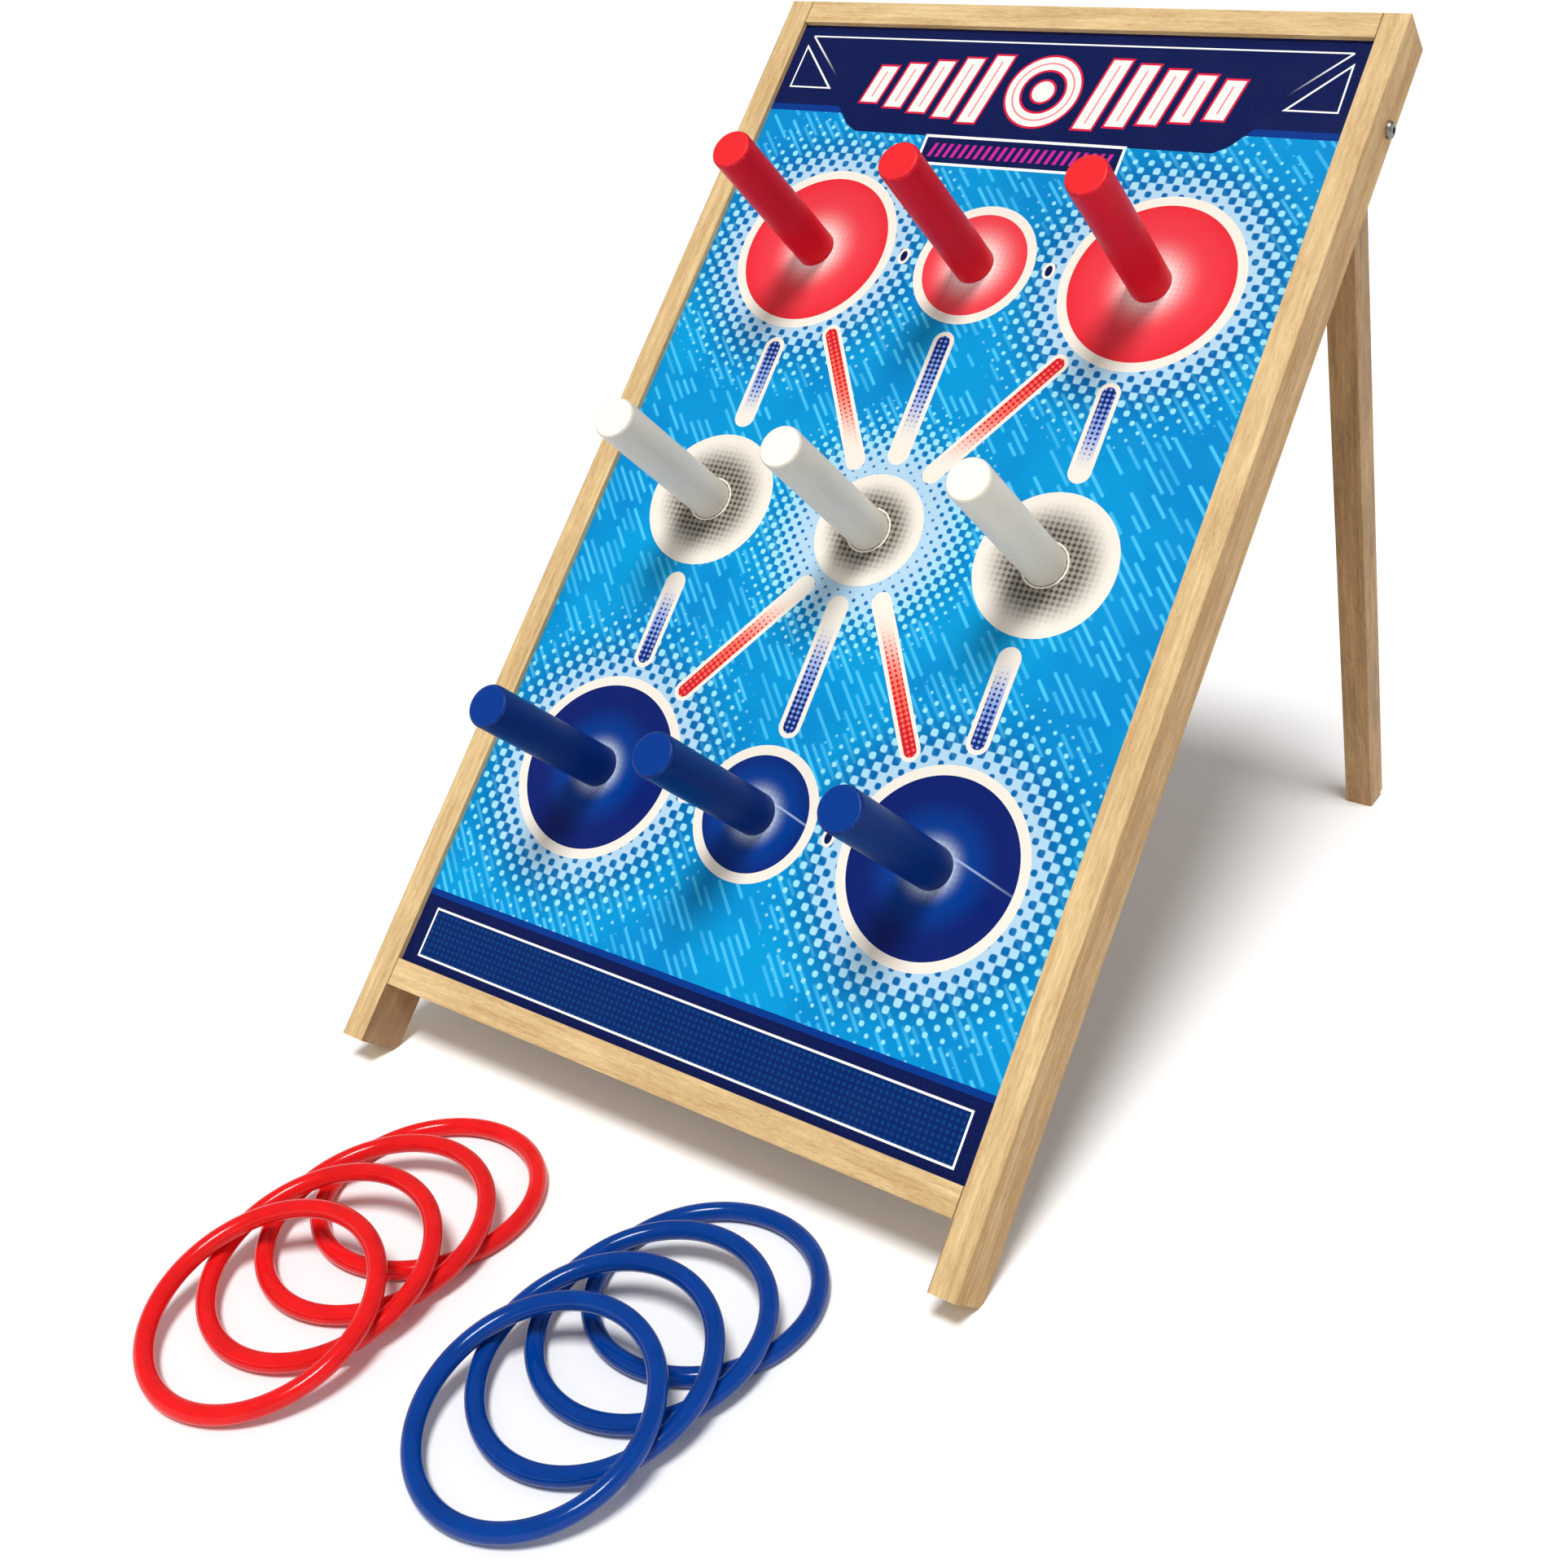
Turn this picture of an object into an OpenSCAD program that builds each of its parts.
// Ring toss set: a leaning peg board on two folding rear legs, with eight loose rings.
// The board is drawn upright-flat first (x across, y up the board, z out of its face)
// and then leaned back. The frame's origin is on the ground, under the middle of the set.

/* [Board] */
// Overall width of the frame
board_w = 440; // [400:1:500]
// Length of the side stiles
board_h = 747; // [700:1:820]
// Depth of the frame timbers, front to back
frame_depth = 32; // [28:1:40]
// Face width of the side stiles
stile_w = 16.5; // [14:0.5:24]
// Face height of the top and bottom rails
rail_h = 16.5; // [14:0.5:24]
// Length of stile left below the bottom rail
foot_len = 36.7; // [20:0.1:60]
// Lean of the board back from upright, in degrees
lean = 43.4; // [35:0.1:50]
// Height trimmed off the lowest stile corner to make a flat foot
foot_trim = 2; // [1:0.5:4]

/* [Panel] */
// Thickness of the game panel
panel_t = 5; // [3:0.5:8]
// How far the panel's face sits behind the front of the frame
panel_recess = 3.75; // [2:0.25:8]
// How far the panel reaches into the frame's grooves
groove_depth = 6; // [3:0.5:8]
// Clearance around the panel in its grooves
groove_fit = 0.15; // [0.05:0.05:0.5]

/* [Pegs] */
// Diameter of a peg
peg_d = 26; // [20:0.5:30]
// Length of a peg, from the panel's face
peg_len = 106.5; // [80:0.5:120]
// Radius of the rounded edge at a peg's tip
peg_round = 2.2; // [0.5:0.1:4]
// Distance between peg columns
peg_pitch_x = 120; // [100:1:130]
// Distance between peg rows
peg_pitch_y = 180.4; // [150:0.1:190]
// Height of the lowest peg row on the board
peg_row_y = 201; // [190:1:215]
// Diameter of the screws that hold the pegs
screw_d = 4; // [3:0.5:5]
// Length of the peg screws, under the head
screw_len = 35; // [25:1:50]
// Diameter of a peg screw's head
screw_head_d = 8.5; // [7:0.5:10]
// Height of a peg screw's head
screw_head_h = 2.6; // [2:0.1:3.5]

/* [Corner joints] */
// Diameter of the corner dowels
dowel_d = 6; // [5:1:8]
// Length of the corner dowels
dowel_len = 30; // [24:1:36]
// Distance between the two dowels of a corner
dowel_pitch = 13; // [12:0.5:14]

/* [Rear legs] */
// Width of a rear leg, across the board
leg_w = 20; // [14:0.5:24]
// Depth of a rear leg
leg_t = 22.5; // [18:0.5:24]
// Length of a rear leg from its pivot to its foot
leg_len = 516.5; // [510:0.5:530]
// Height of the pivot on the board
pivot_y = 685.5; // [680:0.5:690]
// Distance of the pivot behind the front of the frame
pivot_depth = 22.9; // [22:0.1:24]
// Height trimmed off the lowest leg corner to make a flat foot
leg_trim = 0.9; // [0.5:0.1:1.5]
// Gap left between an opened leg's top end and the panel's back
stop_gap = 0.3; // [0.2:0.05:0.5]

/* [Pivot hardware] */
// Diameter of the pivot bolts
bolt_d = 6; // [5:1:6]
// Diameter of a pivot bolt's round head
bolt_head_d = 10.5; // [9:0.5:12]
// Height of a pivot bolt's round head
bolt_head_h = 3.3; // [2.5:0.1:4]
// Width across the flats of the lock nuts
nut_af = 10; // [8:0.5:11]
// Height of the hexagonal part of a lock nut
nut_h = 4.2; // [3:0.1:6]
// Height of a lock nut's nylon collar
collar_h = 1.8; // [1:0.1:3]
// Diameter of the flat washers
washer_d = 12; // [11:0.5:16]
// Thickness of the flat washers
washer_t = 1; // [0.8:0.1:1.6]
// Radial clearance of a rear leg on its bolt
pivot_fit = 0.05; // [0.01:0.01:0.1]
// Side clearance between a rear leg and each washer
leg_side_gap = 0.3; // [0.2:0.05:0.5]

/* [Rings] */
// Diameter of a ring, measured to the middle of its tube
ring_mid_d = 115; // [100:1:125]
// Thickness of a ring's tube
ring_tube_d = 10; // [8:0.5:12]
// How far each ring is set forward from the one under it
ring_step = 37; // [34:0.5:42]
// Gap left where one ring lies on the next
ring_gap = 0.45; // [0.4:0.05:0.6]
// Distance of the lowest red ring to the left of the middle
red_x = -78.2; // [-90:0.1:-70]
// Distance of the lowest red ring in front of the board's front edge
red_front = 64.2; // [60:0.1:90]
// Direction in which the red rings climb, from the X axis
red_heading = 92.3; // [80:0.1:100]
// Distance of the lowest blue ring to the right of the middle
blue_x = 97.4; // [85:0.1:110]
// Distance of the lowest blue ring in front of the board's front edge
blue_front = 42.3; // [38:0.1:90]
// Direction in which the blue rings climb, from the X axis
blue_heading = 86.1; // [80:0.1:100]

/* [Hidden] */
$fn = 64;

// Colours
pine = [0.90, 0.78, 0.58];
azure = [0.05, 0.55, 0.87];
peg_red = [0.85, 0.08, 0.12];
peg_white = [0.93, 0.93, 0.90];
peg_blue = [0.03, 0.13, 0.45];
ring_red = [0.90, 0.10, 0.10];
ring_blue = [0.02, 0.22, 0.62];
steel = [0.62, 0.62, 0.64];

eps = 0.01;

// Frame
inner_w = board_w - 2 * stile_w;
bottom_rail_y = foot_len + rail_h / 2;
top_rail_y = board_h - rail_h / 2;
opening_low = foot_len + rail_h;
opening_high = board_h - rail_h;
panel_back = -(panel_recess + panel_t);
// The dowels sit in the middle of the timber that is left behind the panel's grooves
dowel_z = (panel_back - groove_fit - frame_depth) / 2;

// Height and place of the board's front lower edge once the lowest corners are trimmed
edge_z = frame_depth * sin(lean) - foot_trim;
pivot_z = edge_z + pivot_y * cos(lean) - pivot_depth * sin(lean);
pivot_from_edge = pivot_y * sin(lean) + pivot_depth * cos(lean);

// A leg swings back until its front lower corner stands on the ground
leg_reach = sqrt(pow(leg_len, 2) + pow(leg_t / 2, 2));
leg_splay = atan(leg_t / 2 / leg_len) + acos((pivot_z + leg_trim) / leg_reach);
leg_open = leg_splay + lean;
// The rounded top end is centred above the pivot, so that it meets the panel when open
leg_top = (pivot_depth + panel_back - leg_t / 2 - stop_gap) / sin(leg_open);
leg_inset = washer_t + leg_side_gap;
leg_x = board_w / 2 - stile_w - leg_inset - leg_w / 2;
grip = stile_w + leg_inset + leg_w + leg_side_gap + washer_t;

// Rings: each leans on the one under it, and its front edge rests on the ground
ring_r = ring_mid_d / 2;
tube_r = ring_tube_d / 2;
// Slope at which the tubes of two neighbouring rings cross
crossing_slope = 8;
function ring_tilt(level) =
    level == 0 ? 0 :
    let (rise = sin(ring_tilt(level - 1)) * (ring_r - ring_step / 2))
    asin((rise + (ring_tube_d + ring_gap) / cos(crossing_slope)) / (ring_r + ring_step / 2));
function tilted_half_depth(level, heading) =
    ring_r * sqrt(1 - pow(sin(ring_tilt(level)) * sin(heading), 2)) + tube_r;

// Front and back of the whole set, from the board's front lower edge
red_front_end = -red_front - 3 * ring_step * sin(red_heading) - tilted_half_depth(3, red_heading);
leg_back_end = pivot_from_edge + leg_len * sin(leg_splay) + leg_t / 2 * cos(leg_splay);
edge_y = -(red_front_end + leg_back_end) / 2;

// Places what is drawn on the flat board onto the leaning board
module on_board() {
    translate([0, edge_y, edge_z]) rotate([90 - lean, 0, 0]) children();
}

// Cuts off whatever reaches below the ground
module above_ground() {
    difference() {
        children();
        translate([-board_w, -2 * board_h, -board_h]) cube([2 * board_w, 4 * board_h, board_h]);
    }
}

module mirrored(side) {
    if (side < 0) mirror([1, 0, 0]) children();
    else children();
}

// A slot for the panel, as drawn on the flat board
module panel_slot() {
    slot_w = inner_w + 2 * groove_depth;
    slot_h = opening_high - opening_low + 2 * groove_depth;
    translate([-slot_w / 2, opening_low - groove_depth, panel_back - groove_fit])
        cube([slot_w, slot_h, panel_t + 2 * groove_fit]);
}

// Sockets or dowels at both ends of one rail, along the board's width
module corner_pins(rail_y) {
    for (side = [-1, 1], along = [-1, 1])
        translate([
            side * (board_w / 2 - stile_w) - dowel_len / 2,
            rail_y,
            dowel_z + along * dowel_pitch / 2
        ])
            rotate([0, 90, 0]) cylinder(h = dowel_len, d = dowel_d);
}

module stile(side) {
    color(pine) above_ground() on_board() mirrored(side) difference() {
        translate([board_w / 2 - stile_w, 0, -frame_depth]) cube([stile_w, board_h, frame_depth]);
        panel_slot();
        corner_pins(bottom_rail_y);
        corner_pins(top_rail_y);
        translate([board_w / 2 - stile_w - eps, pivot_y, -pivot_depth])
            rotate([0, 90, 0]) cylinder(h = stile_w + 2 * eps, d = bolt_d + 2 * pivot_fit);
    }
}

module rail(rail_y) {
    color(pine) on_board() difference() {
        translate([-inner_w / 2, rail_y - rail_h / 2, -frame_depth])
            cube([inner_w, rail_h, frame_depth]);
        panel_slot();
        corner_pins(rail_y);
    }
}

module corner_dowels() {
    color(pine) on_board() {
        corner_pins(bottom_rail_y);
        corner_pins(top_rail_y);
    }
}

// Moves to one peg's place on the panel's face; column and row run from -1 to 1
module at_peg(column, row) {
    translate([column * peg_pitch_x, peg_row_y + (row + 1) * peg_pitch_y, -panel_recess])
        children();
}

module game_panel() {
    panel_w = inner_w + 2 * (groove_depth - groove_fit);
    panel_low = opening_low - groove_depth + groove_fit;
    panel_high = opening_high + groove_depth - groove_fit;
    color(azure) on_board() difference() {
        translate([-panel_w / 2, panel_low, panel_back])
            cube([panel_w, panel_high - panel_low, panel_t]);
        for (column = [-1:1], row = [-1:1])
            at_peg(column, row) translate([0, 0, -panel_t - eps])
                cylinder(h = panel_t + 2 * eps, d = screw_d);
    }
}

// A dowel peg with a rounded tip and a blind screw hole in its base
module peg(column, row, colour) {
    arc_steps = 6;
    corner = [for (i = [0:arc_steps]) let (a = 90 * i / arc_steps) [
        peg_d / 2 - peg_round * (1 - cos(a)),
        peg_len - peg_round * (1 - sin(a))
    ]];
    color(colour) on_board() at_peg(column, row) difference() {
        rotate_extrude() polygon(concat([[0, 0], [peg_d / 2, 0]], corner, [[0, peg_len]]));
        translate([0, 0, -eps]) cylinder(h = screw_len - panel_t + eps, d = screw_d);
    }
}

// Pan-head screws, driven through the panel's back into the pegs
module peg_screws() {
    color(steel) on_board() for (column = [-1:1], row = [-1:1])
        at_peg(column, row) translate([0, 0, -panel_t]) difference() {
            union() {
                cylinder(h = screw_len, d = screw_d);
                translate([0, 0, -screw_head_h]) cylinder(h = screw_head_h, d = screw_head_d);
            }
            for (turn = [0, 90])
                rotate([0, 0, turn]) translate([-screw_head_d / 4, -0.5, -screw_head_h - eps])
                    cube([screw_head_d / 2, 1, 1.2]);
        }
}

// Moves to one pivot, with +Z along the pivot axis outwards from the frame's side face
module at_pivot(side) {
    on_board() mirrored(side) translate([board_w / 2, pivot_y, -pivot_depth])
        rotate([0, 90, 0]) children();
}

// The leg is drawn hanging along -Y from its pivot and then swung open
module rear_leg(side) {
    color(pine) above_ground() on_board() mirrored(side)
        translate([leg_x, pivot_y, -pivot_depth]) rotate([leg_open, 0, 0]) difference() {
            union() {
                translate([-leg_w / 2, -leg_len, -leg_t / 2]) cube([leg_w, leg_len + leg_top, leg_t]);
                translate([-leg_w / 2, leg_top, 0]) rotate([0, 90, 0]) cylinder(h = leg_w, d = leg_t);
            }
            translate([-leg_w / 2 - eps, 0, 0]) rotate([0, 90, 0])
                cylinder(h = leg_w + 2 * eps, d = bolt_d + 2 * pivot_fit);
        }
}

// A button-head bolt with a hexagonal socket
module pivot_bolt(side) {
    dome_steps = 5;
    dome_start = 0.9;
    dome = [for (i = [0:dome_steps]) let (a = 90 * i / dome_steps) [
        bolt_head_d / 2 - (bolt_head_d / 2 - bolt_d / 2) * (1 - cos(a)),
        dome_start + (bolt_head_h - dome_start) * sin(a)
    ]];
    color(steel) at_pivot(side) difference() {
        union() {
            translate([0, 0, -grip - nut_h - collar_h - 1])
                cylinder(h = grip + nut_h + collar_h + 1 + eps, d = bolt_d);
            rotate_extrude() polygon(concat([[0, 0], [bolt_head_d / 2, 0]], dome, [[0, bolt_head_h]]));
        }
        translate([0, 0, bolt_head_h - 2]) cylinder(h = 3, d = 4.6, $fn = 6);
    }
}

// A hexagonal nut with a round nylon collar on its free end
module lock_nut(side) {
    color(steel) at_pivot(side) translate([0, 0, -grip]) difference() {
        union() {
            translate([0, 0, -nut_h]) cylinder(h = nut_h, d = nut_af / cos(30), $fn = 6);
            translate([0, 0, -nut_h - collar_h]) cylinder(h = collar_h + eps, d = nut_af - 1);
        }
        translate([0, 0, -nut_h - collar_h - eps])
            cylinder(h = nut_h + collar_h + 2 * eps, d = bolt_d);
    }
}

module washer() {
    difference() {
        cylinder(h = washer_t, d = washer_d);
        translate([0, 0, -eps]) cylinder(h = washer_t + 2 * eps, d = bolt_d);
    }
}

// One washer on each face of each leg
module pivot_washers() {
    color(steel) for (side = [-1, 1]) at_pivot(side) {
        translate([0, 0, -stile_w - washer_t]) washer();
        translate([0, 0, -grip]) washer();
    }
}

// One ring; level 0 lies flat, and each level above leans on the one under it
module ring(level, x, front, heading, colour) {
    tilt = ring_tilt(level);
    color(colour)
        translate([
            x - level * ring_step * cos(heading),
            edge_y - front - level * ring_step * sin(heading),
            tube_r + ring_r * sin(tilt)
        ])
            rotate([0, 0, heading - 90]) rotate([tilt, 0, 0])
                rotate_extrude() translate([ring_r, 0]) circle(d = ring_tube_d);
}

module red_ring(number) {
    ring(4 - number, red_x, red_front, red_heading, ring_red);
}

module blue_ring(number) {
    ring(4 - number, blue_x, blue_front, blue_heading, ring_blue);
}

stile(-1);  // left_stile
stile(1);  // right_stile
rail(top_rail_y);  // top_rail
rail(bottom_rail_y);  // bottom_rail
game_panel();
peg(-1, 1, peg_red);  // red_peg_left
peg(0, 1, peg_red);  // red_peg_middle
peg(1, 1, peg_red);  // red_peg_right
peg(-1, 0, peg_white);  // white_peg_left
peg(0, 0, peg_white);  // white_peg_middle
peg(1, 0, peg_white);  // white_peg_right
peg(-1, -1, peg_blue);  // blue_peg_left
peg(0, -1, peg_blue);  // blue_peg_middle
peg(1, -1, peg_blue);  // blue_peg_right
peg_screws();
corner_dowels();
rear_leg(-1);  // left_rear_leg
rear_leg(1);  // right_rear_leg
pivot_bolt(-1);  // left_pivot_bolt
pivot_bolt(1);  // right_pivot_bolt
lock_nut(-1);  // left_lock_nut
lock_nut(1);  // right_lock_nut
pivot_washers();
red_ring(1);  // red_ring_1
red_ring(2);  // red_ring_2
red_ring(3);  // red_ring_3
red_ring(4);  // red_ring_4
blue_ring(1);  // blue_ring_1
blue_ring(2);  // blue_ring_2
blue_ring(3);  // blue_ring_3
blue_ring(4);  // blue_ring_4
